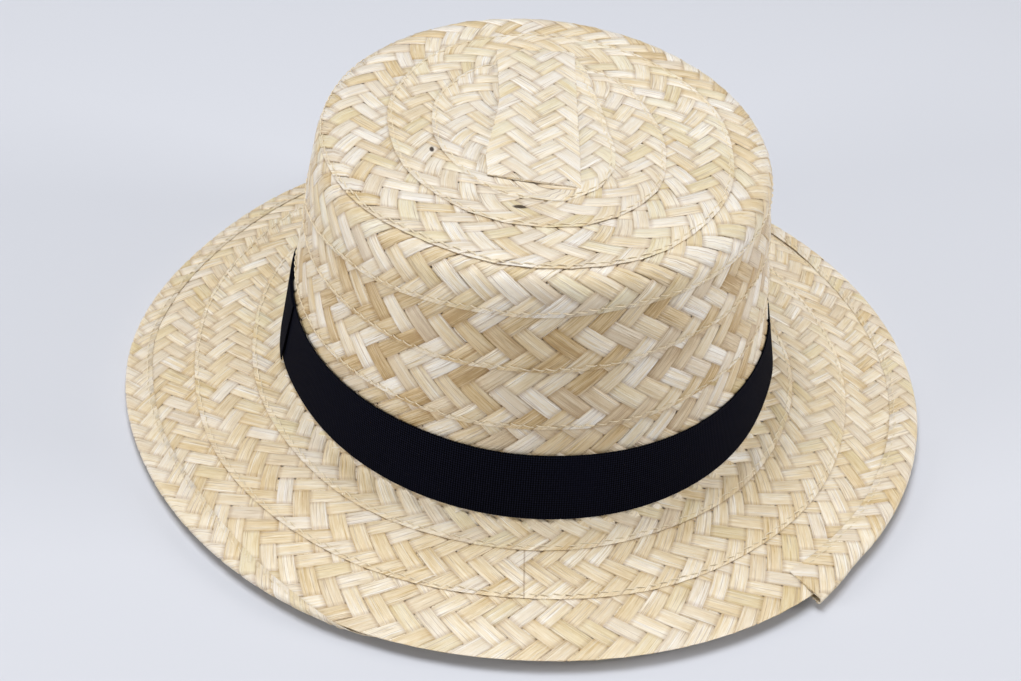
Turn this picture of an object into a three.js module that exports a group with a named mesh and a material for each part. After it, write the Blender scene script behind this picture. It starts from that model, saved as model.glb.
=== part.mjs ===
// Straw boater hat: a flat oval tip, a leaning side and a sloping brim, all of sewn straw braid,
// with a ribbon round the foot of the crown. Millimetres, +Z up, the long axis of the head along Y.
import * as THREE from 'three';

// Crown, measured outside. The brim line, where side and brim meet, is at height 0 while building.
const CROWN_WIDTH = 172;
const CROWN_LENGTH = 203;
const CROWN_HEIGHT = 84;
const CROWN_LEAN = 10.6; // how far the side leans in, brim line to tip
const SHOULDER_RADIUS = 8;
const STRAW_WALL = 2; // two plies of flattened braid
const TIP_SEAM_HEIGHT = 70; // the tip's last row meets the side's first row here
const SEAM_GAP = 0.3;

// Brim: how far it reaches from the crown and how far its edge drops, by bearing in degrees,
// anticlockwise from +X. The straw has a slight wave, so the sections differ.
const BRIM_SECTIONS = [
  { bearing: 0, reach: 56.2, drop: 10.3 },
  { bearing: 30, reach: 55.6, drop: 10.4 },
  { bearing: 60, reach: 53.8, drop: 10.6 },
  { bearing: 90, reach: 53.0, drop: 10.9 },
  { bearing: 120, reach: 53.2, drop: 11.5 },
  { bearing: 150, reach: 52.2, drop: 12.2 },
  { bearing: 180, reach: 55.7, drop: 11.8 },
  { bearing: 210, reach: 54.4, drop: 11.2 },
  { bearing: 240, reach: 53.2, drop: 10.3 },
  { bearing: 270, reach: 50.4, drop: 9.8 },
  { bearing: 300, reach: 51.6, drop: 9.8 },
  { bearing: 330, reach: 53.8, drop: 10.1 },
];

// Ribbon round the crown, and the ends where it is joined.
const BAND_FOOT = 0.4; // lower edge above the brim line
const BAND_TOP = 24;
const RIBBON = 0.8;
const LAP = { from: 172, to: 190, flare: 0.9 }; // the upper end of the ribbon, by bearing

// Cut end of the outermost row of braid, lying on the brim's edge.
const BRAID_END = { from: 306, to: 315, inner: 42, overhang: 3, thickness: 1.1 };

const ROUND_STEPS = 96;
const SHOULDER_STEPS = 6;

const STRAW = new THREE.MeshStandardMaterial({ color: 0xe3d3b4, roughness: 0.55, metalness: 0 });
const SIDE_STRAW = new THREE.MeshStandardMaterial({ color: 0xdccaa6, roughness: 0.5, metalness: 0 });
const RIBBON_CLOTH = new THREE.MeshStandardMaterial({ color: 0x0b0c12, roughness: 0.8, metalness: 0 });

const halfWidth = CROWN_WIDTH / 2;
const lengthOverWidth = (CROWN_LENGTH - CROWN_WIDTH) / 2;
const leanAngle = Math.atan2(CROWN_LEAN, CROWN_HEIGHT);

// Half the crown's width at a height, on the leaning side.
function wallAt(height) {
  return halfWidth - CROWN_LEAN * height / CROWN_HEIGHT;
}

// A point of the oval whose half-width is given; its half-length is longer by a fixed amount,
// which fades to nothing at the axis.
function ovalPoint(half, bearing) {
  const longer = lengthOverWidth * Math.min(1, half / (halfWidth / 2));
  return new THREE.Vector2(half * Math.cos(bearing), (half + longer) * Math.sin(bearing));
}

// The outward direction of the oval at the brim line.
function ovalNormal(bearing) {
  const x = Math.cos(bearing) / halfWidth;
  const y = Math.sin(bearing) / (halfWidth + lengthOverWidth);
  return new THREE.Vector2(x, y).normalize();
}

// One column of the brim table at any bearing, by a smooth curve through its closed round of rows.
function brimAt(bearing, column) {
  const count = BRIM_SECTIONS.length;
  const place = THREE.MathUtils.euclideanModulo(bearing / (2 * Math.PI), 1) * count;
  const row = Math.floor(place) % count;
  const [before, here, next, after] = [-1, 0, 1, 2].map(
    (step) => BRIM_SECTIONS[(row + step + count) % count][column],
  );
  const part = place - Math.floor(place);
  const slopeHere = (next - before) / 2;
  const slopeNext = (after - here) / 2;
  const square = part * part;
  const cube = square * part;
  return here * (2 * cube - 3 * square + 1) + slopeHere * (cube - 2 * square + part)
    + next * (3 * square - 2 * cube) + slopeNext * (cube - square);
}

// A point on the brim's upper face, out from the crown, lifted straight up.
function brimPoint(bearing, out, lift) {
  const foot = ovalPoint(halfWidth, bearing);
  const normal = ovalNormal(bearing);
  const slope = brimAt(bearing, 'drop') / brimAt(bearing, 'reach');
  const height = lift - SEAM_GAP / 2 - slope * Math.max(0, out);
  return new THREE.Vector3(foot.x + normal.x * out, foot.y + normal.y * out, height);
}

// Moves every vertex of a geometry to where a function of its own place sends it.
function reshape(geometry, place) {
  const position = geometry.attributes.position;
  const vertex = new THREE.Vector3();
  for (let i = 0; i < position.count; i += 1) {
    vertex.fromBufferAttribute(position, i);
    position.setXYZ(i, ...place(vertex).toArray());
  }
  geometry.computeVertexNormals();
  return geometry;
}

// Turns a profile of [half-width, height] points round the crown's oval.
function ovalRing(profile) {
  const points = profile.map(([half, height]) => new THREE.Vector2(half, height));
  const ring = new THREE.LatheGeometry(points, ROUND_STEPS).rotateX(Math.PI / 2);
  return reshape(ring, (vertex) => {
    const flat = ovalPoint(Math.hypot(vertex.x, vertex.y), Math.atan2(vertex.y, vertex.x));
    return new THREE.Vector3(flat.x, flat.y, vertex.z);
  });
}

// The rounded edge of the tip, from the leaning side to the flat, as [half-width, height] points.
function shoulder(radius, inset) {
  const centreHeight = CROWN_HEIGHT - SHOULDER_RADIUS;
  const tangentHeight = centreHeight + SHOULDER_RADIUS * Math.sin(leanAngle);
  const centre = wallAt(tangentHeight) - SHOULDER_RADIUS * Math.cos(leanAngle);
  const points = [];
  for (let step = 0; step <= SHOULDER_STEPS; step += 1) {
    const angle = leanAngle + (Math.PI / 2 - leanAngle) * step / SHOULDER_STEPS;
    points.push([centre + radius * Math.cos(angle), centreHeight + radius * Math.sin(angle)]);
  }
  points.push([0, CROWN_HEIGHT - inset]);
  return points;
}

// The flat tip with its rounded edge, down to the seam.
function tipGeometry() {
  const rim = TIP_SEAM_HEIGHT + SEAM_GAP / 2;
  const outside = [[wallAt(rim), rim], ...shoulder(SHOULDER_RADIUS, 0)];
  const inside = [[wallAt(rim) - STRAW_WALL, rim], ...shoulder(SHOULDER_RADIUS - STRAW_WALL, STRAW_WALL)];
  return ovalRing([...inside.reverse(), ...outside]);
}

// The leaning side, open above and below.
function sideGeometry() {
  const foot = SEAM_GAP / 2;
  const top = TIP_SEAM_HEIGHT - SEAM_GAP / 2;
  return ovalRing([
    [wallAt(foot) - STRAW_WALL, foot],
    [wallAt(foot), foot],
    [wallAt(top), top],
    [wallAt(top) - STRAW_WALL, top],
    [wallAt(foot) - STRAW_WALL, foot],
  ]);
}

// The brim: its inner margin lies flat under the crown's wall, then it slopes to the edge.
// The profile's radius is 2 + (distance out / reach), which the last step opens out.
function brimGeometry() {
  const profile = [[1, -1], [2, -1], [3, -1], [3, 0], [2, 0], [1, 0], [1, -1]];
  const points = profile.map(([radius, layer]) => new THREE.Vector2(radius, layer));
  const ring = new THREE.LatheGeometry(points, ROUND_STEPS).rotateX(Math.PI / 2);
  return reshape(ring, (vertex) => {
    const bearing = Math.atan2(vertex.y, vertex.x);
    const share = Math.hypot(vertex.x, vertex.y) - 2;
    const out = share < 0 ? share * STRAW_WALL : share * brimAt(bearing, 'reach');
    return brimPoint(bearing, out, vertex.z * STRAW_WALL);
  });
}

// The ribbon, one loop round the foot of the crown.
function bandGeometry() {
  const inner = (height) => wallAt(height) + SEAM_GAP;
  const outer = (height) => inner(height) + RIBBON;
  return ovalRing([
    [inner(BAND_FOOT), BAND_FOOT],
    [outer(BAND_FOOT), BAND_FOOT],
    [outer(BAND_TOP), BAND_TOP],
    [inner(BAND_TOP), BAND_TOP],
    [inner(BAND_FOOT), BAND_FOOT],
  ]);
}

// The upper end of the ribbon, lapped over the loop; its cut end stands off a little.
function lapGeometry() {
  const box = new THREE.BoxGeometry(1, 1, 1, 10, 1, 1).translate(0.5, 0.5, 0.5);
  return reshape(box, (vertex) => {
    const bearing = THREE.MathUtils.degToRad(THREE.MathUtils.lerp(LAP.to, LAP.from, vertex.x));
    const height = THREE.MathUtils.lerp(BAND_FOOT, BAND_TOP, vertex.z);
    const flare = LAP.flare * (1 - vertex.x) ** 2;
    const half = wallAt(height) + 2 * SEAM_GAP + RIBBON + flare + RIBBON * vertex.y;
    const flat = ovalPoint(half, bearing);
    return new THREE.Vector3(flat.x, flat.y, height);
  });
}

// The braid's cut end on top of the brim; its outer corner sticks out past the edge.
function braidEndGeometry() {
  const box = new THREE.BoxGeometry(1, 1, 1, 6, 1, 1).translate(0.5, 0.5, 0.5);
  return reshape(box, (vertex) => {
    const bearing = THREE.MathUtils.degToRad(THREE.MathUtils.lerp(BRAID_END.from, BRAID_END.to, vertex.x));
    const edge = brimAt(bearing, 'reach') + BRAID_END.overhang * (1 - vertex.x);
    const out = THREE.MathUtils.lerp(edge, BRAID_END.inner, vertex.y);
    return brimPoint(bearing, out, SEAM_GAP + BRAID_END.thickness * vertex.z);
  });
}

function piece(name, geometry, material) {
  const mesh = new THREE.Mesh(geometry, material);
  mesh.name = name;
  return mesh;
}

const hat = new THREE.Group();
hat.add(
  piece('crown_tip', tipGeometry(), STRAW),
  piece('crown_side', sideGeometry(), SIDE_STRAW),
  piece('brim', brimGeometry(), STRAW),
  piece('hat_band', bandGeometry(), RIBBON_CLOTH),
  piece('band_lap', lapGeometry(), RIBBON_CLOTH),
  piece('braid_end', braidEndGeometry(), STRAW),
);

// The origin is the middle of the hat's footprint, on the surface that the brim rests on.
const box = new THREE.Box3().setFromObject(hat);
const middle = box.getCenter(new THREE.Vector3());
hat.position.set(-middle.x, -middle.y, -box.min.z);
hat.updateMatrixWorld(true);

export default hat;
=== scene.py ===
# %% [markdown]
# # A straw boater, plaited, sewn and trimmed
# A boater like this is one long flat plait of seven straws, sewn to itself in a spiral.
# It starts in the middle of the tip, runs out and down the side and ends at the brim's edge.
# So this lesson makes one repeat of the plait flat, copies it into a long braid, and lays
# that braid on the hat's form row by row. A picture of a weave on a smooth shell would be
# quicker, but it has no edges that catch the light and no ends where the braid starts and stops.

# %% Load the frame
import math

import bmesh
import bpy
import numpy as np
from mathutils import Matrix, Vector


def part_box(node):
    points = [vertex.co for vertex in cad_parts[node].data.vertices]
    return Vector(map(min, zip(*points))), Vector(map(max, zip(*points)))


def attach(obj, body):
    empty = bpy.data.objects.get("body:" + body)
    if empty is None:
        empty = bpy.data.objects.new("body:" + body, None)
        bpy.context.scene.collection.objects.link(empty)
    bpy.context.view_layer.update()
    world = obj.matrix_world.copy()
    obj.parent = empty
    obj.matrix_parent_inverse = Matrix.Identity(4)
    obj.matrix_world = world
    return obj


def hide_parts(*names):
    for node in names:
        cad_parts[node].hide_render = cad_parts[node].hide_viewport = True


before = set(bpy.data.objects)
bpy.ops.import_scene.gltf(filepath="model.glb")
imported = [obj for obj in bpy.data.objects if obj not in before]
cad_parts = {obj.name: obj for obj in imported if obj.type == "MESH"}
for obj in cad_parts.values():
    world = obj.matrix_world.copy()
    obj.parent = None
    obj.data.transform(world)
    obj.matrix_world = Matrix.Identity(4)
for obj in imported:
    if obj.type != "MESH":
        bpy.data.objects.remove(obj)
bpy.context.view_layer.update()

MM = 0.001

# %% [markdown]
# The camera looks down on the front of the crown from about arm's length, rolled a little.
# A 60 mm lens keeps the brim's far side from shrinking, as it would with a wide lens up close.

# %% Set up the camera
EYE = Vector((-0.0499, -0.5023, 0.3653))
LOOKED_AT = Vector((-0.0058, -0.0020, 0.0121))
ROLL = math.radians(4.7)
LENS, FILM_WIDTH = 59.94, 36.0

camera_data = bpy.data.cameras.new("camera")
camera_data.lens, camera_data.sensor_width = LENS, FILM_WIDTH
camera_data.clip_start, camera_data.clip_end = 0.01, 20.0
camera = bpy.data.objects.new("camera", camera_data)
bpy.context.scene.collection.objects.link(camera)
camera.location = EYE
camera.rotation_mode = "QUATERNION"
towards = (LOOKED_AT - EYE).to_track_quat("-Z", "Y")
camera.rotation_quaternion = towards @ Matrix.Rotation(ROLL, 3, "Z").to_quaternion()
bpy.context.scene.camera = camera
print("the camera stands", round((LOOKED_AT - EYE).length, 3), "m away")

# %% [markdown]
# Every row of braid lies on the hat's form, so the form comes first, as one function.
# It takes a bearing round the hat and a climb, which is how far up the surface a point is
# from the line where crown and brim meet: positive on the crown, negative on the brim.
# The crown's size comes from the frame. The shoulder and the brim's slope repeat the values
# that the form was made with, because a box can't hold them. Brim and side meet in a soft bend
# six millimetres wide, so that the braid turns there and doesn't crease.

# %% Describe the form
side_low, side_high = (np.array(corner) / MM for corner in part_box("crown_side"))
tip_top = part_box("crown_tip")[1][2] / MM
SEAM = 0.15
CENTRE_X, CENTRE_Y = (side_low[:2] + side_high[:2]) / 2
BRIM_LINE = side_low[2] - SEAM
HALF_WIDTH = (side_high[0] - side_low[0]) / 2
LONGER = (side_high[1] - side_low[1]) / 2 - HALF_WIDTH
CROWN_HEIGHT = tip_top - BRIM_LINE
CROWN_LEAN, SHOULDER = 10.6, 8.0
LEAN = math.atan2(CROWN_LEAN, CROWN_HEIGHT)
SHOULDER_Z = CROWN_HEIGHT - SHOULDER
SIDE_RUN = (SHOULDER_Z + SHOULDER * math.sin(LEAN)) / math.cos(LEAN)
SHOULDER_HALF = HALF_WIDTH - SIDE_RUN * math.sin(LEAN) - SHOULDER * math.cos(LEAN)
SHOULDER_RUN = SHOULDER * (math.pi / 2 - LEAN)
BRIM_REACH = (56.2, 55.6, 53.8, 53.0, 53.2, 52.2, 55.7, 54.4, 53.2, 50.4, 51.6, 53.8)
BRIM_DROP = (10.3, 10.4, 10.6, 10.9, 11.5, 12.2, 11.8, 11.2, 10.3, 9.8, 9.8, 10.1)
BEND_WIDE = 6.0


def curve_through(values, place):
    """A smooth curve through values that are one step apart, read at place."""
    left = np.clip(np.floor(place).astype(int), 1, len(values) - 3)
    part = place - left
    before, here, there, after = (values[left + step] for step in (-1, 0, 1, 2))
    slope_here, slope_there = (there - before) / 2, (after - here) / 2
    bend = (2 * here - 2 * there + slope_here + slope_there) * part**3
    turn = (3 * there - 3 * here - 2 * slope_here - slope_there) * part**2
    return here + slope_here * part + bend + turn


def round_brim(values, bearing):
    """One of the brim's measures at a bearing, from its twelve sections."""
    closed = np.array([values[-2], values[-1], *values, *values[:3]])
    return curve_through(closed, np.mod(bearing, 2 * np.pi) / (np.pi / 6) + 2)


def on_hat(bearing, climb, lift):
    """Points in metres, from arrays of bearing, climb along the form and lift off it in mm."""
    bearing, climb, lift = np.broadcast_arrays(bearing, climb, lift)
    cos, sin = np.cos(bearing), np.sin(bearing)
    up = np.maximum(climb, 0.0)
    tilt = LEAN + np.clip((up - SIDE_RUN) / SHOULDER, 0, math.pi / 2 - LEAN)
    on_side = up < SIDE_RUN
    inward = np.maximum(up - SIDE_RUN - SHOULDER_RUN, 0.0)
    above_side = SHOULDER_HALF + SHOULDER * np.cos(tilt) - inward
    half = np.where(on_side, HALF_WIDTH - up * math.sin(LEAN), above_side)
    z = np.where(on_side, up * math.cos(LEAN), SHOULDER_Z + SHOULDER * np.sin(tilt))
    out_x, out_y = cos / np.maximum(half, 1.0), sin / (np.maximum(half, 1.0) + LONGER)
    size = np.hypot(out_x, out_y)
    out_x, out_y = out_x / size, out_y / size
    down = np.maximum(-climb, 0.0)
    slope = np.arctan2(round_brim(BRIM_DROP, bearing), round_brim(BRIM_REACH, bearing))
    on_brim = np.clip(0.5 - climb / BEND_WIDE, 0, 1)
    tilt = tilt * (1 - on_brim) + (math.pi / 2 - slope) * on_brim
    out = down * np.cos(slope) + lift * np.cos(tilt)
    x = CENTRE_X + half * cos + out_x * out
    y = CENTRE_Y + (half + LONGER) * sin + out_y * out
    z = BRIM_LINE + z - down * np.sin(slope) + lift * np.sin(tilt)
    return np.stack([x, y, z], -1) * MM


def brim_width(bearing):
    """How far the brim runs down its slope from the crown, in mm."""
    return np.hypot(round_brim(BRIM_REACH, bearing), round_brim(BRIM_DROP, bearing))


print("the tip is", round(CROWN_HEIGHT, 1), "mm above the brim line")

# %% [markdown]
# The spiral is a table: where the outer edge of each row lies, as a climb in mm, at eight
# bearings, clockwise as seen from above and starting at the right of the front. Each line of the
# table is one turn. A smooth curve through all of the numbers, read from first to last, is the
# path of the sewing machine, and it wanders by half a millimetre or so, as a hand does. The
# first line is the part that starts hidden under the straight strip in the middle of the tip.

# %% Describe the spiral
TURN = 8
ROW_EDGES = (
    (145.5, 141.5, 135.5, 128.5, 139.0, 136.0, 108.0, 130.6),
    (136.0, 129.5, 126.0, 123.0, 120.0, 119.5, 119.0, 118.5),
    (118.0, 113.5, 110.0, 107.5, 105.0, 102.5, 100.0, 97.5),
    (95.0, 91.5, 87.5, 85.0, 82.0, 80.0, 78.0, 76.5),
    (75.0, 74.0, 72.2, 65.5, 57.0, 56.5, 57.0, 57.0),
    (57.5, 57.5, 53.0, 50.2, 48.5, 45.0, 42.0, 39.5),
    (37.0, 36.0, 33.0, 30.2, 28.5, 25.0, 22.0, 19.5),
    (17.0, 14.0, 11.0, 9.5, 8.0, 5.0, 2.0, -4.0),
    (-9.0, -10.0, -11.0, -12.4, -12.5, -16.0, -20.0, -25.0),
    (-30.0, -29.5, -29.5, -33.0, -33.0, -37.0, -42.0, -47.0),
    (-50.0, -56.0, -60.0, -60.0, -60.0, -60.0, -60.0, -60.0),
    (-60.0, -60.0, -60.0, -60.0, -60.0, -60.0, -60.0, -60.0),
)
EDGE_LIST = np.array(ROW_EDGES).ravel()
FIRST_STEP, LAST_STEP = TURN - 1.7, 11 * TURN + 0.6
EDGE_INSET = 0.5
WANDER = ((0.35, 2.9, 0.0), (0.25, 7.3, 1.0))


def row_edge(step):
    """The climb of the row's outer edge, at a number of eighths of a turn along the spiral."""
    step = np.maximum(step, 0.0)
    wander = sum(size * np.sin(step * often + begin) for size, often, begin in WANDER)
    bearing = -step * math.pi / 4
    return np.maximum(curve_through(EDGE_LIST, step) + wander, EDGE_INSET - brim_width(bearing))


# %% [markdown]
# To lay a flat braid along the spiral, a distance along the braid has to become a place on
# the path. The path is sampled finely, its length is summed a third of the way across the
# row, and the table is read backwards. The braid also has to run square to its own edge,
# so each sample keeps how much the bearing shifts for a millimetre of inward travel.
# On the brim the plait was pushed together a little as it was sewn, which gives more
# repeats to the same length.

# %% Measure the path
PERIOD = 9.1
BRIM_PERIOD = 8.2
MEASURED_ACROSS = 10.0
MOST_SKEW = 0.03
SAMPLE_EVERY, TURN_NUDGE, CLIMB_NUDGE = 0.02, 1e-4, 0.1
steps = np.arange(FIRST_STEP, LAST_STEP, SAMPLE_EVERY)
path_bearing = -steps * math.pi / 4
path_edge = row_edge(steps)
middle = path_edge + MEASURED_ACROSS
further, nearer = (on_hat(path_bearing + nudge, middle, 0) for nudge in (TURN_NUDGE, -TURN_NUDGE))
higher, lower = (on_hat(path_bearing, middle + nudge, 0) for nudge in (CLIMB_NUDGE, -CLIMB_NUDGE))
round_way = (further - nearer) / (2 * TURN_NUDGE)
up_way = (higher - lower) / (2 * CLIMB_NUDGE)
along_way = round_way * -math.pi / 4 + up_way * np.gradient(path_edge, steps)[:, None]
square = -(up_way * along_way).sum(1) / (round_way * along_way).sum(1)
path_square = np.clip(square, -MOST_SKEW, MOST_SKEW)
path_points = on_hat(path_bearing + path_square * MEASURED_ACROSS, middle, 0) / MM
path_moves = np.linalg.norm(np.diff(path_points, axis=0), axis=1)
crowding = PERIOD / (BRIM_PERIOD + (PERIOD - BRIM_PERIOD) * np.clip(middle[1:] / 20 + 0.5, 0, 1))
path_length = np.concatenate([[0.0], np.cumsum(path_moves * crowding)])
turns = round((LAST_STEP - FIRST_STEP) / TURN, 1)
print("the braid is", round(path_moves.sum() / 1000, 2), "m long in", turns, "turns")

# %% [markdown]
# Each row lies over the next one outwards, like roof shingles turned over: its outer edge
# stands a braid's thickness proud, and its inner margin goes down under the row before. The
# outermost two millimetres are pressed flatter, as the machine's foot presses them.

# %% Lay a flat braid on the spiral
PLY = 0.85
PROUD = 0.10
EDGE_PRESS, PRESSED_WIDE = 0.34, 2.4


def covered_from(along):
    """How far across the braid the row before starts to cover it."""
    step = np.interp(along, path_length, steps)
    return row_edge(step - TURN) - row_edge(step)


def lay_on_spiral(flat):
    """Flat points (along, across, height) in mm, to points on the hat in metres."""
    along, across, height = flat.T
    step = np.interp(along, path_length, steps)
    edge = row_edge(step)
    covered_at = covered_from(along)
    under = np.clip(1 + (across - covered_at) / np.maximum(covered_at, 12.0), 0, 1.4)
    pressed = EDGE_PRESS * np.clip(1 - across / PRESSED_WIDE, 0, 1)
    bearing = -step * math.pi / 4 + np.interp(step, steps, path_square) * across
    return on_hat(bearing, edge + across, height + PROUD - PLY * under - pressed)


# %% [markdown]
# ## The plait
# Seven flat straws cross in a twill: each one goes over two and under two, turns at the
# braid's edge and comes back. Over one repeat there is a rising pass, from the outer edge to
# the inner one, and a falling pass, its mirror image. A pass is a strip of faces with its rings
# where it changes from over to under. A grid and a solidify make the strip, and its
# points are then moved to the twill's places, as a plaiter pulls a straw into line. The face is
# a little narrower than the back, which rounds a straw's long edges and lets them catch the light.

# %% Make one repeat of the plait
STRANDS = 7
COLUMN = 3.72
BRAID_WIDTH = STRANDS * COLUMN
STRAW_THICK = 0.34
OVER = 0.19
RING_PLACES = (None, 0.8, 1.38, 1.62, 2.2, 2.8, 3.38, 3.62, 4.2, 4.8, 5.38, 5.62, 6.2, None)
RING_HEIGHTS = (0.3, 1.15, 0.75, -0.75, -1.15, -1.15, -0.75, 0.75, 1.15, 1.15, 0.75, -0.75, -1.15, -0.3)
FACE_HALF, BACK_HALF = 0.40, 0.49
END_THIN = 0.55
PASS_STEP, STRAW_WIDE = 5.84, 5.7


def straw_pass():
    """A rising pass of one straw, flat, as a bmesh with its straw map of mm along and across."""
    bm = bmesh.new()
    segments = len(RING_PLACES) - 1
    bmesh.ops.create_grid(bm, x_segments=segments, y_segments=1, size=0.5)
    bmesh.ops.solidify(bm, geom=bm.faces[:], thickness=0.2)
    levels = [vert.co.z for vert in bm.verts]
    halfway = (min(levels) + max(levels)) / 2
    straw_map = bm.loops.layers.uv.new("straw")
    sideways = bm.verts.layers.float.new("sideways")
    for vert in bm.verts:
        ring = round((vert.co.x + 0.5) * segments)
        on_face = vert.co.z > halfway
        offset = math.copysign(FACE_HALF if on_face else BACK_HALF, vert.co.y)
        place = {0: -offset, segments: STRANDS - offset}.get(ring, RING_PLACES[ring])
        vert[sideways] = offset
        thick = STRAW_THICK * (END_THIN if ring in (0, segments) else 1.0)
        height = OVER * RING_HEIGHTS[ring] + (thick / 2 if on_face else -thick / 2)
        vert.co = ((offset - place) * PERIOD / 2, (place + offset) * COLUMN, height)
        for loop in vert.link_loops:
            loop[straw_map].uv = (place * PASS_STEP, offset * STRAW_WIDE)
    return bm


plait = straw_pass()
rising = plait.verts[:] + plait.edges[:] + plait.faces[:]
falling = bmesh.ops.duplicate(plait, geom=rising)["geom"]
falling_verts = [part for part in falling if isinstance(part, bmesh.types.BMVert)]
bmesh.ops.scale(plait, vec=(1, -1, 1), verts=falling_verts)
shift = (STRANDS / 2 * PERIOD, BRAID_WIDTH, 0)
bmesh.ops.translate(plait, vec=shift, verts=falling_verts)
bmesh.ops.recalc_face_normals(plait, faces=plait.faces[:])
repeat_mesh = bpy.data.meshes.new("plait_repeat")
plait.to_mesh(repeat_mesh)
plait.free()
PASS_POINTS = len(repeat_mesh.vertices) // 2
print("one pass of straw has", len(repeat_mesh.polygons) // 2, "faces")

# %% [markdown]
# Straw is a natural thing: one splint is ivory, the next is tan, and a plaiter splices in a
# new one every twenty centimetres or so. The splints' tones are drawn once for all seven
# straws along the whole braid, so a straw keeps its colour where it turns at the edge.

# %% Choose the straws
RUNS = (4, 9)
TONE_SPREAD, SHIFT_SPREAD, HEIGHT_SPREAD = 0.05, 0.12, 0.03
chance = np.random.default_rng(61)
REPEATS = int(path_length[-1] / PERIOD) + 2
PASSES_EACH = 2 * (REPEATS // STRANDS + 2)


def splint_values(low, high):
    """A value for every pass of each straw, changing where a new splint starts."""
    values = np.zeros((STRANDS, PASSES_EACH))
    for strand in range(STRANDS):
        place = -chance.integers(0, RUNS[1])
        while place < PASSES_EACH:
            run = chance.integers(*RUNS)
            values[strand, max(place, 0):place + run] = chance.uniform(low, high)
            place += run
    return values


tones = splint_values(0, 1)
chills = splint_values(0, 1)
widths = splint_values(0.93, 1.05)
print("the whole braid takes", REPEATS, "repeats of the plait")

# %% [markdown]
# An Array modifier copies the repeat into as much braid as a part of the hat needs. After
# that every point is moved: first by a little chance, because no two passes lie quite alike,
# and then to its place on the hat. The tip and the brim are painted paler than the side, as light
# falling from above, and the side darker, as shade: there each straw's tone is drawn part of the
# way towards one pale tone.

# %% Make a length of braid
def flat_braid(name, count):
    """An object that holds count repeats of the plait, flat along X, in mm."""
    braid = bpy.data.objects.new(name, repeat_mesh)
    bpy.context.scene.collection.objects.link(braid)
    array = braid.modifiers.new("repeats", "ARRAY")
    array.count, array.use_relative_offset, array.use_constant_offset = count, False, True
    array.constant_offset_displace = (PERIOD, 0, 0)
    graph = bpy.context.evaluated_depsgraph_get()
    made = bpy.data.meshes.new_from_object(braid.evaluated_get(graph))
    braid.modifiers.clear()
    braid.data = made
    return braid


def read_points(mesh):
    """A mesh's points, as an array with a row for each."""
    points = np.zeros(len(mesh.vertices) * 3)
    mesh.vertices.foreach_get("co", points)
    return points.reshape(-1, 3)


def keep_value(mesh, name, values):
    """Stores one number a point on the mesh, for its material to read."""
    mesh.attributes.new(name, "FLOAT", "POINT").data.foreach_set("value", values.astype(np.float32))


def vary_straws(braid, first, count, paled_by_wear_and_light, lit_pale_to):
    """Gives each pass its splint's tone, its own width and a small shift, still flat."""
    mesh = braid.data
    points = read_points(mesh).reshape(count, 2, PASS_POINTS, 3)
    sideways = np.zeros(len(mesh.vertices))
    mesh.attributes["sideways"].data.foreach_get("value", sideways)
    number = first + np.arange(count)
    strand = (number % STRANDS)[:, None]
    order = 2 * (number // STRANDS)[:, None] + np.array([1, 0])
    tone = np.clip(tones[strand, order] + chance.normal(0, TONE_SPREAD, (count, 2)), 0, 1)
    # Painted light: on the tip and the brim the tone is drawn towards a pale tone, as the light from
    # above; the side keeps its darker tones, as shade.
    tone = tone * (1 - paled_by_wear_and_light) + lit_pale_to * paled_by_wear_and_light
    seed = chance.uniform(0, 1, (count, 2))
    for name, value in (("tone", tone), ("chill", chills[strand, order]), ("seed", seed)):
        keep_value(mesh, name, np.repeat(value.ravel(), PASS_POINTS))
    wider = (widths[strand, order] - 1)[..., None] * sideways.reshape(points.shape[:3])
    points[..., 0] += wider * PERIOD / 2 + chance.normal(0, SHIFT_SPREAD, (count, 2, 1)) + first * PERIOD
    points[..., 1] += wider * COLUMN * np.array([1, -1])[:, None]
    points[..., 2] += chance.normal(0, HEIGHT_SPREAD, (count, 2, 1))
    mesh.vertices.foreach_set("co", points.ravel())


def lay_down(piece, place):
    """Moves a flat piece's points, in mm, to where place puts them, in metres, and shades it."""
    mesh = piece.data
    mesh.vertices.foreach_set("co", place(read_points(mesh)).ravel())
    mesh.update()
    bm = bmesh.new()
    bm.from_mesh(mesh)
    bmesh.ops.recalc_face_normals(bm, faces=bm.faces[:])
    bm.to_mesh(mesh)
    bm.free()
    mesh.shade_smooth()
    mesh.set_sharp_from_angle(angle=math.radians(60))


def wear_straw(braid, nodes):
    """Hangs a piece of braid on the frame's root, hides the frame's parts it stands for, and prints its
    size.
    """
    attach(braid, "root")
    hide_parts(*nodes)
    triangles = sum(len(face.vertices) - 2 for face in braid.data.polygons)
    print(braid.name, "has", triangles, "triangles")


FAR_OFF = -99.0
# Painted light: how much pale tone, and which, by the row's climb, most on the lit tip and brim and none
# on the shaded side.
LIT_PALE_AT, LIT_PALE, LIT_PALE_TO = (-12, -2, 58, 92), (0.62, 0.0, 0.0, 0.62), (0.57, 0.6, 0.8, 0.8)


def sewn_rows(name, first, count, nodes):
    """A part of the spiral, as one piece that stands for the form's own solids."""
    braid = flat_braid(name, count)
    edge = row_edge(np.interp((first + np.arange(count)) * PERIOD, path_length, steps))
    paled_by_wear_and_light, lit_pale_to = (np.interp(edge, LIT_PALE_AT, values)[:, None] for values in (LIT_PALE, LIT_PALE_TO))
    vary_straws(braid, first, count, paled_by_wear_and_light, lit_pale_to)
    rows = read_points(braid.data)
    first_turn = rows[:, 0] < FIRST_TURN_LENGTH
    # Kept for the painted shadow beside the edge of the row that lies over this one.
    tucked = np.where(first_turn, FAR_OFF, rows[:, 1] - covered_from(rows[:, 0]))
    keep_value(braid.data, "tucked", tucked)
    # Kept for the painted shade along the splice's crease.
    keep_value(braid.data, "splice", rows[:, 0] - SPLICE)
    lay_down(braid, lay_on_spiral)
    wear_straw(braid, nodes)
    return braid


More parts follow.
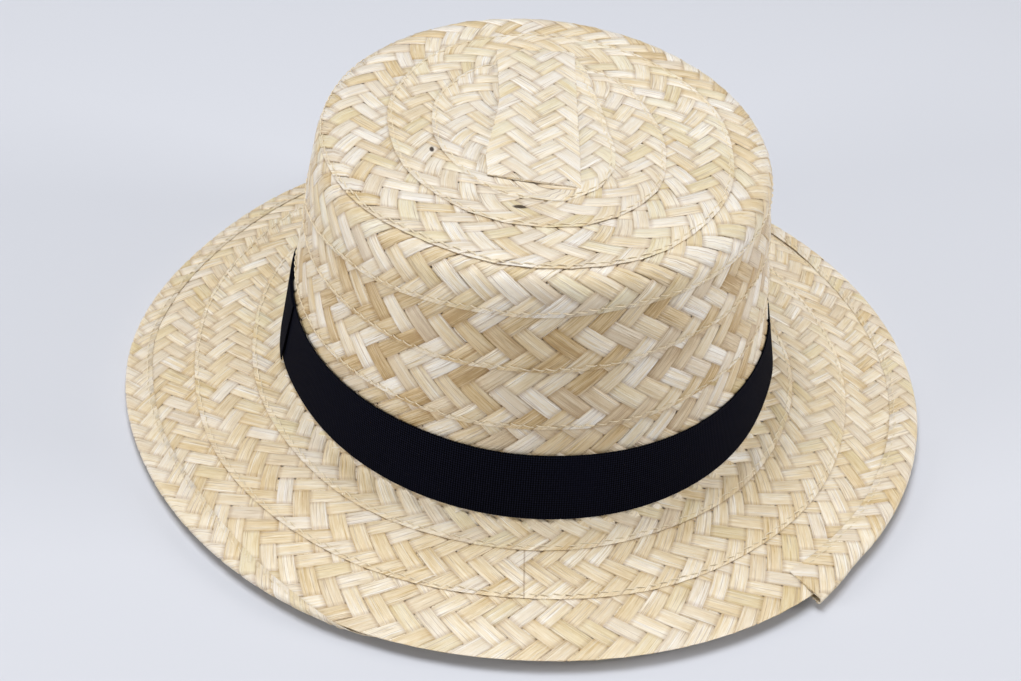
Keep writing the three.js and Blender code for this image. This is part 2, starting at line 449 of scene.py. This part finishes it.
# %% [markdown]
# The braid is one, but a mesh of nearly a hundred and forty thousand triangles is slow to
# handle. It is cut at the back into the tip, the side and the brim. A cut falls between two
# repeats, so the passes of one part go on into the next and no seam shows. The last few repeats
# aren't needed and are left off. A new length of braid was spliced in at the front of the brim,
# and each point keeps how far along the braid it is from there.

# %% Sew the tip, the side and the brim
SIDE_STARTS, BRIM_STARTS = 3 * TURN + 6, 7 * TURN + 6
SPLICE_STEP = 9 * TURN + 2.07
LEFT_OVER = 5
FIRST_TURN_LENGTH = np.interp(2 * TURN - 0.5, steps, path_length)
SPLICE = np.interp(SPLICE_STEP, steps, path_length)
cut_places = np.interp((FIRST_STEP, SIDE_STARTS, BRIM_STARTS), steps, path_length)
cuts = [int(place / PERIOD) for place in cut_places]
tip_rows = sewn_rows("tip_rows", cuts[0], cuts[1] - cuts[0], ["crown_tip"])
side_rows = sewn_rows("side_rows", cuts[1], cuts[2] - cuts[1], ["crown_side"])
brim_rows = sewn_rows("brim_rows", cuts[2], REPEATS - cuts[2] - LEFT_OVER, ["brim"])

# %% [markdown]
# ## The strip in the middle
# The braid starts as a straight strip along the tip, with its raw end folded under at the
# front. It is the same plait, cut square across both ends with a bisect, and it lies on
# top of everything. Its two sides aren't quite parallel, so they are given as two lines, read
# at five places from front to back. It was pulled tight, which stretches its pattern by a seventh.

# %% Lay the strip on the tip
STRIP_BACK, STRIP_LENGTH, STRIP_SKEW, STRIP_STRETCH = 58.0, 97.0, 6.5, 1.14
STRIP_ENDS = (-38.0, -20.0, -3.0, 18.0, 58.0)
STRIP_LEFT = (-19.9, -20.2, -17.4, -14.3, -14.0)
STRIP_RIGHT = (9.3, 10.4, 11.2, 12.2, 14.2)
FOLD_DROP, FOLD_WIDE = 0.25, 1.6
STRIP_LIFT = 0.25


def trim(piece, low, high, score_lines):
    """Cuts a flat braid square at two places, and scores it lengthwise where it is to be folded."""
    bm = bmesh.new()
    bm.from_mesh(piece.data)
    for place, way in ((low, -1), (high, 1)):
        everything = bm.verts[:] + bm.edges[:] + bm.faces[:]
        plane = {"plane_co": (place, 0, 0), "plane_no": (way, 0, 0)}
        bmesh.ops.bisect_plane(bm, geom=everything, clear_outer=True, **plane)
        open_edges = [edge for edge in bm.edges if edge.is_boundary]
        bmesh.ops.holes_fill(bm, edges=open_edges, sides=0)
    for line in score_lines:
        everything = bm.verts[:] + bm.edges[:] + bm.faces[:]
        bmesh.ops.bisect_plane(bm, geom=everything, plane_co=(0, line, 0), plane_no=(0, 1, 0))
    bm.to_mesh(piece.data)
    bm.free()


def lay_strip(flat):
    """From along, across and height to the tip, running from the back to the front."""
    along, across, height = flat.T
    along, share = along * STRIP_STRETCH, across / BRAID_WIDTH
    y = STRIP_BACK - along * (1 - STRIP_SKEW / STRIP_LENGTH * share)
    right, left = np.interp(y, STRIP_ENDS, STRIP_RIGHT), np.interp(y, STRIP_ENDS, STRIP_LEFT)
    to_end = np.minimum(along, STRIP_LENGTH - along)
    drop = FOLD_DROP * np.clip(1 - to_end / FOLD_WIDE, 0, 1) ** 2
    z = tip_top + PROUD + STRIP_LIFT + height - drop
    return np.stack([CENTRE_X + right + (left - right) * share, CENTRE_Y + y, z], -1) * MM


START, SPARE = 5 * PERIOD, 10


def cut_braid(name, length, place, node, paled_by_wear_and_light, lit_pale_to, across_zero=None, score_lines=()):
    """A short length of the same plait, cut square at both ends and laid by its own rule."""
    count = int(length / PERIOD) + SPARE
    braid = flat_braid(name, count)
    vary_straws(braid, 0, count, paled_by_wear_and_light, lit_pale_to)
    if across_zero:
        flat = read_points(braid.data)
        flat[:, 1] -= across_zero(flat[:, 0] - START)
        braid.data.vertices.foreach_set("co", flat.ravel())
    trim(braid, START, START + length, score_lines)
    for value in ("tucked", "splice"):
        keep_value(braid.data, value, np.full(len(braid.data.vertices), FAR_OFF))
    lay_down(braid, lambda flat: place(flat - (START, 0, 0)))
    wear_straw(braid, [node])
    return braid


flat_length = STRIP_LENGTH / STRIP_STRETCH
tip_strip = cut_braid("tip_strip", flat_length, lay_strip, "crown_tip", LIT_PALE[-1], LIT_PALE_TO[-1])

# %% [markdown]
# ## The bound edge
# The last length of braid is folded over the brim's edge, with about a third of its width
# on top. It starts out of sight under the front left, goes round by the left, the back and
# the right, and ends in a cut end that stands a little past the edge at the front right.
# A straw is too stiff to fold without a score, and so is its strip of faces: the flat braid is
# first cut by six planes along the fold, which gives every straw the rings to go round in.

# %% Fold a braid over the brim's edge
BINDING_START, BINDING_END = math.radians(250), math.radians(-54)
SHOWN_AT = np.radians((-54, -45, -35, 0, 15, 26, 32, 38, 60, 120, 178, 187, 215, 224, 236, 250))
SHOWN = (12.6, 9.6, 9.2, 9.0, 9.0, 8.2, 6.6, 5.8, 6.0, 6.6, 7.1, 8.4, 9.0, 7.4, 3.4, -4.0)
ROLL_RADIUS, ROLL_LIFT = 1.2, -0.3
FOLDS = [-ROLL_RADIUS * math.pi * part / 5 for part in range(6)]
END_OVERHANG, END_BEARING = 3.0, math.radians(9)
EDGE_BACK, EDGE_FALL, NARROWEST = 1.25, 0.52, 3.0
LENGTH_MEASURED_AT = 3.0
FOLD_SHARE, BELOW_RISE = 0.5, 0.03
edge_bearings = np.linspace(BINDING_START, BINDING_END, 3000)
edge_points = on_hat(edge_bearings, LENGTH_MEASURED_AT - brim_width(edge_bearings), 0) / MM
edge_moves = np.linalg.norm(np.diff(edge_points, axis=0), axis=1)
edge_length = np.concatenate([[0.0], np.cumsum(edge_moves)]) * PERIOD / BRIM_PERIOD


def fold_place(along):
    """How far across the braid the fold lies."""
    return BRAID_WIDTH - np.interp(np.interp(along, edge_length, edge_bearings), SHOWN_AT, SHOWN)


def lay_binding(flat):
    """Folds the braid over the edge: what is inward of the fold goes on top, the rest below."""
    along, inward, height = flat.T
    bearing = np.interp(along, edge_length, edge_bearings)
    past = END_OVERHANG * np.clip(1 - (bearing - BINDING_END) / END_BEARING, 0, 1)
    width = brim_width(bearing) - EDGE_BACK + past
    turn = np.clip(-inward / ROLL_RADIUS, 0, math.pi)
    below = np.maximum(-inward - math.pi * ROLL_RADIUS, 0)
    on_top = np.maximum(inward, 0)
    climb = -width + on_top + below - (ROLL_RADIUS + height * FOLD_SHARE) * np.sin(turn)
    fall = EDGE_FALL / np.maximum(np.interp(bearing, SHOWN_AT, SHOWN), NARROWEST)
    lift = ROLL_LIFT + (ROLL_RADIUS + height) * np.cos(turn) - fall * on_top + BELOW_RISE * below
    return on_hat(bearing, climb, lift)


edge_braid = cut_braid(
    "edge_braid", edge_length[-1], lay_binding, "braid_end", LIT_PALE[0], LIT_PALE_TO[0], fold_place, FOLDS
)

# %% [markdown]
# ## Stitches
# The rows are sewn a millimetre and a half inside their outer edge. A stitch is a short rod with
# its ends pulled down into the straw. There are over a thousand, so each has few faces. They show
# most on the crown's side, and on the tip and the brim they are sunk a little deeper.

# %% Sew the rows
STITCH_LENGTH, STITCH_PITCH, THREAD = 3.3, 3.8, 0.2
STITCH_SIDES, STITCH_CUTS, STITCH_DIP, STITCH_SLANT, STITCH_SPREAD = 5, 3, 0.45, 0.18, 0.16
STITCHED_ACROSS = 1.4
STITCH_HEIGHT, SUNK_STITCH = 0.56, 0.17
SIDE_MIDDLE, SIDE_REACH, SINKS_WITHIN = 40.0, 36.0, 4.0
EDGE_AHEAD, EDGE_STITCHED = 2.0, 1.6


def stitch_line(name, count):
    """Count stitches in a row along X, flat, in mm."""
    bm = bmesh.new()
    rod = {"segments": STITCH_SIDES, "radius1": THREAD, "radius2": THREAD, "depth": STITCH_LENGTH}
    bmesh.ops.create_cone(bm, cap_ends=True, **rod)
    lying = Matrix.Rotation(math.pi / 2, 3, "Y")
    bmesh.ops.rotate(bm, cent=(0, 0, 0), matrix=lying, verts=bm.verts)
    long_edges = [edge for edge in bm.edges if edge.calc_length() > 1]
    bmesh.ops.subdivide_edges(bm, edges=long_edges, cuts=STITCH_CUTS)
    for vert in bm.verts:
        vert.co.z += STITCH_HEIGHT - STITCH_DIP * (abs(vert.co.x) * 2 / STITCH_LENGTH) ** 3
        vert.co.y += vert.co.x * STITCH_SLANT
    mesh = bpy.data.meshes.new(name)
    bm.to_mesh(mesh)
    bm.free()
    line = bpy.data.objects.new(name, mesh)
    bpy.context.scene.collection.objects.link(line)
    array = line.modifiers.new("stitches", "ARRAY")
    array.count, array.use_relative_offset, array.use_constant_offset = count, False, True
    array.constant_offset_displace = (STITCH_PITCH, 0, 0)
    graph = bpy.context.evaluated_depsgraph_get()
    line.data = bpy.data.meshes.new_from_object(line.evaluated_get(graph))
    line.modifiers.clear()
    points = read_points(line.data).reshape(count, -1, 3)
    points[..., :2] += chance.normal(0, STITCH_SPREAD, (count, 1, 2))
    line.data.vertices.foreach_set("co", points.ravel())
    return line


def lay_stitches(flat):
    """Lays the stitches inside each row's edge, and deeper in the straw off the crown's side."""
    edge = row_edge(np.interp(flat[:, 0], path_length, steps))
    flat = flat + (0, STITCHED_ACROSS, 0)
    off_side = (np.abs(edge - SIDE_MIDDLE) - SIDE_REACH) / SINKS_WITHIN
    flat[:, 2] -= SUNK_STITCH * np.clip(off_side, 0, 1)
    return lay_on_spiral(flat)


SEWN_TO = np.interp(10 * TURN + 0.3, steps, path_length)
stitches = stitch_line("row_stitches", int(SEWN_TO / STITCH_PITCH))
lay_down(stitches, lay_stitches)
edge_stitches = stitch_line("edge_stitches", int(edge_length[-1] / STITCH_PITCH) - 2)


def lay_edge_stitches(flat):
    """Lays the stitches just inside the edge braid's inner line."""
    along, across, height = flat.T
    along = along + EDGE_AHEAD
    inner = BRAID_WIDTH - fold_place(along) - EDGE_STITCHED
    return lay_binding(np.stack([along, inner + across, height - SUNK_STITCH], -1))


lay_down(edge_stitches, lay_edge_stitches)
for line in (stitches, edge_stitches):
    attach(line, "root")
    print(line.name, "has", len(line.data.polygons), "faces")

# %% [markdown]
# ## The ribbon
# The band is a ribbon 23 mm high that goes once round the crown, stretched tight, and laps
# over itself on the left. A grid and a solidify make it flat, and the same form as
# the rows gives its place. The outer end stands off a little at its lower corner, and so does
# the foot of the ribbon on the left and on the right. Its upper edge runs up and down by up to a
# third of a millimetre, and eases off the straw in places by about a tenth of one.

# %% Wrap the ribbon
RIBBON_HIGH, RIBBON_THICK = 23.2, 0.45
RIBBON_FOOT, RIBBON_LIFT = 1.1, 0.85
RIBBON_START, RIBBON_TURN = math.radians(172), math.radians(381)
LAP_RAMP, LAP_LIFT, FLARE = math.radians(8), 0.62, 0.5
BULGES, BULGE_WIDE = ((math.radians(352), 2.0), (math.radians(191), 1.3)), math.radians(11)
RIBBON_PARTS, RIBBON_ROWS = 300, 8
EASE, SAG, SHORT_SAG = 0.12, 0.2, 0.12


def ribbon_place(flat):
    """From a share along, a height in mm and a thickness, to the crown's side."""
    share, high, thick = flat.T
    bearing = RIBBON_START + share * RIBBON_TURN
    over = bearing - RIBBON_START - 2 * math.pi
    lap = LAP_LIFT * np.clip(1 + over / LAP_RAMP, 0, 1)
    to_end = np.clip(over / (RIBBON_TURN - 2 * math.pi), 0, 1)
    flare = FLARE * np.clip(to_end * 3 - 2, 0, 1) ** 2 * (1 - high / RIBBON_HIGH)
    bulge = 0.0
    for centre, size in BULGES:
        away = np.mod(bearing - centre + math.pi, 2 * math.pi) - math.pi
        bulge = bulge + size * np.exp(-((away / BULGE_WIDE) ** 2)) * (1 - high / RIBBON_HIGH)
    ease = EASE * np.sin(bearing * 9) * np.sin(bearing * 4 + 1)
    sag = SAG * np.sin(bearing * 3 + 0.6) + SHORT_SAG * np.sin(bearing * 8)
    climb = RIBBON_FOOT + high + sag * high / RIBBON_HIGH
    return on_hat(bearing, climb, RIBBON_LIFT + lap + flare + bulge + ease * high / RIBBON_HIGH + thick)


around = np.linspace(0, 1, 2000)
ribbon_line = ribbon_place(np.stack([around, around * 0 + RIBBON_HIGH / 2, around * 0], -1))
RIBBON_LONG = float(np.linalg.norm(np.diff(ribbon_line, axis=0), axis=1).sum())
bm = bmesh.new()
bmesh.ops.create_grid(bm, x_segments=RIBBON_PARTS, y_segments=RIBBON_ROWS, size=0.5)
weave_map = bm.loops.layers.uv.new("ribbon")
for vert in bm.verts:
    vert.co = (vert.co.x + 0.5, (vert.co.y + 0.5) * RIBBON_HIGH, 0)
    for loop in vert.link_loops:
        loop[weave_map].uv = (vert.co.x * RIBBON_LONG / MM, vert.co.y)
bmesh.ops.solidify(bm, geom=bm.faces[:], thickness=RIBBON_THICK)
ribbon_mesh = bpy.data.meshes.new("ribbon")
bm.to_mesh(ribbon_mesh)
bm.free()
ribbon = bpy.data.objects.new("ribbon", ribbon_mesh)
bpy.context.scene.collection.objects.link(ribbon)
lay_down(ribbon, ribbon_place)
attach(ribbon, "root")
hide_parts("hat_band", "band_lap")
print("the ribbon is", round(RIBBON_LONG, 3), "m long")

# %% [markdown]
# ## Finishes
# Shader maths reads better as sums than as lists of nodes. This class wraps one socket, so
# that 1 - mask or streak * 0.2 adds the Math node itself. Everything else goes through its
# node method.

# %% Wrap sockets for shader maths
class Wire:
    """One output socket, with operators that add Math nodes and a method for any other node."""

    def __init__(self, tree, socket=None):
        self.tree, self.socket = tree, socket

    def node(self, kind, settings=None, inputs=None, out=0):
        """Adds a node of a type, with its settings first and then its inputs' values or links."""
        made = self.tree.nodes.new(kind)
        for key, value in (settings or {}).items():
            if key == "stops":
                while len(made.color_ramp.elements) < len(value):
                    made.color_ramp.elements.new(0.5)
                for stop, (place, colour) in zip(made.color_ramp.elements, value):
                    stop.position, stop.color = place, colour
            else:
                setattr(made, key, value)
        for key, value in (inputs or {}).items():
            if isinstance(value, Wire):
                self.tree.links.new(value.socket, made.inputs[key])
            else:
                made.inputs[key].default_value = value
        return Wire(self.tree, made.outputs[out])

    def maths(self, operation, *values):
        """A Math node that is given values or links."""
        return self.node("ShaderNodeMath", {"operation": operation}, dict(enumerate(values)))

    def __add__(self, other):
        return self.maths("ADD", self, other)

    def __mul__(self, other):
        return self.maths("MULTIPLY", self, other)

    def __sub__(self, other):
        return self.maths("SUBTRACT", self, other)

    def __rsub__(self, other):
        return self.maths("SUBTRACT", other, self)

    __radd__, __rmul__ = __add__, __mul__

    def between(self, low, high):
        """0 below low, 1 above high, and a straight ramp between them."""
        return self.node("ShaderNodeMapRange", {"clamp": True}, {0: self, 1: low, 2: high})

    def mix(self, first, second):
        """From the first colour to the second as this goes from 0 to 1."""
        return self.node("ShaderNodeMix", {"data_type": "RGBA"}, {0: self, 6: first, 7: second}, out=2)


def linear_light(value):
    """One channel of a screen colour, 0 to 255, as linear light, by the screen's own rule."""
    return value / 255 / 12.92 if value < 10 else ((value / 255 + 0.055) / 1.055) ** 2.4


def shade(red, green, blue):
    """A colour as a dyer's chart gives it, 0 to 255, as the shader's linear light."""
    return (linear_light(red), linear_light(green), linear_light(blue), 1.0)


def new_finish(name):
    """A material with an empty wire to build on, and its surface shader node."""
    material = bpy.data.materials.new(name)
    material.use_nodes = True
    surface = material.node_tree.nodes["Principled BSDF"]
    return material, Wire(material.node_tree), surface


def wear(piece, material):
    """Gives a piece its one material."""
    piece.data.materials.clear()
    piece.data.materials.append(material)


# %% [markdown]
# Straw is pale, a little glossy and full of fine fibres that run along it. The straw map on
# each pass runs along the straw, so the fibres follow it round every turn. The tone of its splint
# picks the main colour. Painted shade darkens a straw at its rims, where it tucks under its
# neighbour, and where its row goes under the next one. A line of painted shade marks the crease
# of the splice on the brim, and two small gaps in the plait of the tip are painted dark as the
# shadow inside them.

# %% Mix the straw
straw, wire, surface = new_finish("straw")


def reading(name):
    """A number that was kept on the mesh's points."""
    return wire.node("ShaderNodeAttribute", {"attribute_name": name}, out="Fac")


def fibre_noise(scale, detail, along, roughness=0.6):
    """Noise drawn out along the straw: scale is per mm across it, along is the stretch."""
    drawn = wire.node("ShaderNodeVectorMath", {"operation": "MULTIPLY"}, {0: moved, 1: (along, 1.0, 1.0)})
    settings = {"Vector": drawn, "Scale": scale, "Detail": detail, "Roughness": roughness}
    return wire.node("ShaderNodeTexNoise", {"noise_dimensions": "2D"}, settings)


tone, chill, seed, row_shadow = (reading(name) for name in ("tone", "chill", "seed", "tucked"))
spliced = reading("splice")
along_straw = wire.node("ShaderNodeUVMap", {"uv_map": "straw"})
apart = wire.node("ShaderNodeCombineXYZ", inputs={0: seed * 400.0, 1: seed * 90.0})
moved = wire.node("ShaderNodeVectorMath", {"operation": "ADD"}, {0: along_straw, 1: apart})
fibres = fibre_noise(2.8, 3.0, 0.03)
threads = fibre_noise(0.9, 1.0, 0.02)
broad = fibre_noise(0.35, 2.0, 0.25)
SPLINTS = (
    (0.0, shade(184, 152, 102)),
    (0.2, shade(214, 188, 142)),
    (0.5, shade(232, 214, 181)),
    (0.78, shade(245, 235, 217)),
    (1.0, shade(252, 248, 241)),
)
mixed_tone = tone * 0.8 + 0.1 + (broad - 0.5) * 0.5 + (fibres - 0.5) * 1.0 + (threads - 0.5) * 0.7
body = wire.node("ShaderNodeValToRGB", {"stops": SPLINTS}, {0: mixed_tone})
cool = (chill.between(0.7, 1.0) * 0.4).mix(body, shade(228, 222, 218))
green = ((1 - chill).between(0.85, 1.0) * 0.35).mix(cool, shade(216, 206, 160))
streaked = (fibres.between(0.56, 0.72) * 0.35).mix(green, shade(178, 142, 88))
splitting = threads.between(0.60, 0.64) * (1 - threads.between(0.66, 0.70)) * 0.45
split = splitting.mix(streaked, shade(150, 112, 62))
# Painted shadow: each straw darkens at its long rims, as the thin shade lines between neighbouring
# straws.
across = wire.node("ShaderNodeSeparateXYZ", inputs={0: along_straw}, out=1)
rim_shadow = across.maths("ABSOLUTE", across).between(2.3, 2.8)
rim_shadowed = (rim_shadow * 0.34).mix(split, shade(160, 120, 68))
GAP_SHADOWS = ((-10.4, -51.3, 2.5, 1.3), (-37.5, -16.9, 0.8, 1.9))
GAP_DEPTH = 5.0
# Painted shade: a straw darkens near each place where it dips under a crossing straw.
along = wire.node("ShaderNodeSeparateXYZ", inputs={0: along_straw}, out=0)
from_tuck = along.maths("PINGPONG", along - 1.5 * PASS_STEP, PASS_STEP)
tuck_shade = 1 - from_tuck.between(0.1, 1.3)
tuck_shaded = (tuck_shade * 0.32).mix(rim_shadowed, shade(150, 108, 56))
# Painted shadow: a thin dark band on a row just beside the edge of the row that lies over it.
under_edge_shadow = row_shadow.between(-0.9, -0.1) * (1 - row_shadow.between(0.3, 1.2)) * 0.24
edge_shadowed = under_edge_shadow.mix(tuck_shaded, shade(140, 104, 62))
# Painted shade: a thin dark line across the brim's row where the splice's crease lies.
crease_shadow = spliced.between(-0.45, -0.1) * (1 - spliced.between(0.1, 0.45)) * 0.5
crease_shadowed = crease_shadow.mix(edge_shadowed, shade(128, 92, 54))
in_place = wire.node("ShaderNodeTexCoord", out="Object")
shaded = crease_shadowed
# Painted shadow: two small gaps in the tip's plait are painted near black, as the shade inside them, with
# no hole cut.
for gap_x, gap_y, half_x, half_y in GAP_SHADOWS:
    centre = ((CENTRE_X + gap_x) * MM, (CENTRE_Y + gap_y) * MM, tip_top * MM)
    offset = wire.node("ShaderNodeVectorMath", {"operation": "SUBTRACT"}, {0: in_place, 1: centre})
    shape = (1 / (half_x * MM), 1 / (half_y * MM), 1 / (GAP_DEPTH * MM))
    scaled = wire.node("ShaderNodeVectorMath", {"operation": "MULTIPLY"}, {0: offset, 1: shape})
    reach = wire.node("ShaderNodeVectorMath", {"operation": "LENGTH"}, {0: scaled}, out="Value")
    shaded = ((1 - reach.between(0.7, 1.1)) * 0.95).mix(shaded, shade(44, 26, 12))
tree = straw.node_tree
tree.links.new(shaded.socket, surface.inputs["Base Color"])
tree.links.new((0.22 + fibres * 0.2).socket, surface.inputs["Roughness"])
grain_height = fibres * 0.6 + threads * 0.8
grain = wire.node("ShaderNodeBump", inputs={"Strength": 0.9, "Distance": 0.0004, "Height": grain_height})
tree.links.new(grain.socket, surface.inputs["Normal"])
surface.inputs["Specular IOR Level"].default_value = 0.62
for piece in (tip_rows, side_rows, brim_rows, tip_strip, edge_braid):
    wear(piece, straw)

# %% [markdown]
# The sewing thread is cotton, paler than the straw it lies on. It is so thin that a fine
# mottle is all the detail it can show.

# %% Mix the thread
thread, wire, surface = new_finish("thread")
place = wire.node("ShaderNodeTexCoord", out="Object")
mottle = wire.node("ShaderNodeTexNoise", inputs={"Vector": place, "Scale": 1800.0, "Detail": 2.0})
thread_colour = mottle.mix(shade(206, 186, 150), shade(246, 236, 214))
thread.node_tree.links.new(thread_colour.socket, surface.inputs["Base Color"])
surface.inputs["Roughness"].default_value = 0.7
for piece in (stitches, edge_stitches):
    wear(piece, thread)

# %% [markdown]
# The ribbon is grosgrain: fine ribs stand across its width, just under a millimetre apart, woven
# in black yarn that has faded slightly towards navy. The ribbon map is in mm, so the ribs keep
# their size right round the crown.

# %% Weave the ribbon's finish
weave, wire, surface = new_finish("ribbon")
RIB, PICK = 0.85, 0.8
laid = wire.node("ShaderNodeUVMap", {"uv_map": "ribbon"})
length_way = wire.node("ShaderNodeSeparateXYZ", inputs={0: laid}, out=0)
height_way = wire.node("ShaderNodeSeparateXYZ", inputs={0: laid}, out=1)
ribs = length_way.maths("SINE", length_way * (2 * math.pi / RIB)) * 0.5 + 0.5
picks = height_way.maths("SINE", height_way * (2 * math.pi / PICK)) * 0.5 + 0.5
flat_noise = {"noise_dimensions": "2D"}
slub = wire.node("ShaderNodeTexNoise", flat_noise, {"Vector": laid, "Scale": 0.8, "Detail": 4.0})
worn = wire.node("ShaderNodeTexNoise", flat_noise, {"Vector": laid, "Scale": 0.03, "Detail": 2.0})
yarn = (ribs * 0.4 + picks * 0.4 + slub * 0.2).between(0.35, 0.85).mix(shade(0, 0, 1), shade(28, 30, 46))
paled_by_wear_and_light = (worn.between(0.5, 0.8) * 0.5).mix(yarn, shade(13, 14, 27))
weave.node_tree.links.new(paled_by_wear_and_light.socket, surface.inputs["Base Color"])
weave.node_tree.links.new((0.75 + slub * 0.2).socket, surface.inputs["Roughness"])
cloth_height = ribs * 0.7 + picks * 0.25 + slub * 0.3
cloth = wire.node("ShaderNodeBump", inputs={"Strength": 0.9, "Distance": 0.0003, "Height": cloth_height})
weave.node_tree.links.new(cloth.socket, surface.inputs["Normal"])
surface.inputs["Specular IOR Level"].default_value = 0.03
wear(ribbon, weave)

# %% [markdown]
# ## Light and floor
# One wide soft lamp above and a little behind the hat lights the tip and the brim and leaves the
# crown's front in shade. Two low lamps, on the left and the right, let the weave show on the
# crown's side, and a weak light from all round fills the shade. The floor is pale and plain.

# %% Light the hat
def soft_lamp(name, place, size, power, colour):
    """A square lamp that looks at the hat."""
    lamp = bpy.data.lights.new(name, "AREA")
    lamp.size, lamp.energy, lamp.color = size, power, colour
    stand = bpy.data.objects.new(name, lamp)
    bpy.context.scene.collection.objects.link(stand)
    stand.location = place
    stand.rotation_mode = "QUATERNION"
    stand.rotation_quaternion = (Vector((0, 0, 0.05)) - Vector(place)).to_track_quat("-Z", "Y")


soft_lamp("lamp_above", (-0.15, 0.15, 1.5), 0.9, 18.2, (0.95, 0.975, 1.0))
soft_lamp("lamp_left", (-1.2, -0.6, 0.42), 0.5, 7.6, (1.0, 0.985, 0.95))
soft_lamp("lamp_right", (1.25, -0.25, 0.5), 0.5, 8.2, (1.0, 0.98, 0.94))
world = bpy.data.worlds.new("room")
world.use_nodes = True
world.node_tree.nodes["Background"].inputs["Color"].default_value = (0.97, 0.95, 0.92, 1.0)
world.node_tree.nodes["Background"].inputs["Strength"].default_value = 0.22
bpy.context.scene.world = world
bpy.context.scene.view_settings.view_transform = "Standard"

floor_shape = bmesh.new()
bmesh.ops.create_grid(floor_shape, x_segments=1, y_segments=1, size=6.0)
floor_mesh = bpy.data.meshes.new("floor")
floor_shape.to_mesh(floor_mesh)
floor_shape.free()
floor = bpy.data.objects.new("floor", floor_mesh)
bpy.context.scene.collection.objects.link(floor)
floor_finish, _, floor_surface = new_finish("floor")
floor_surface.inputs["Base Color"].default_value = shade(209, 211, 219)
floor_surface.inputs["Roughness"].default_value = 0.9
wear(floor, floor_finish)
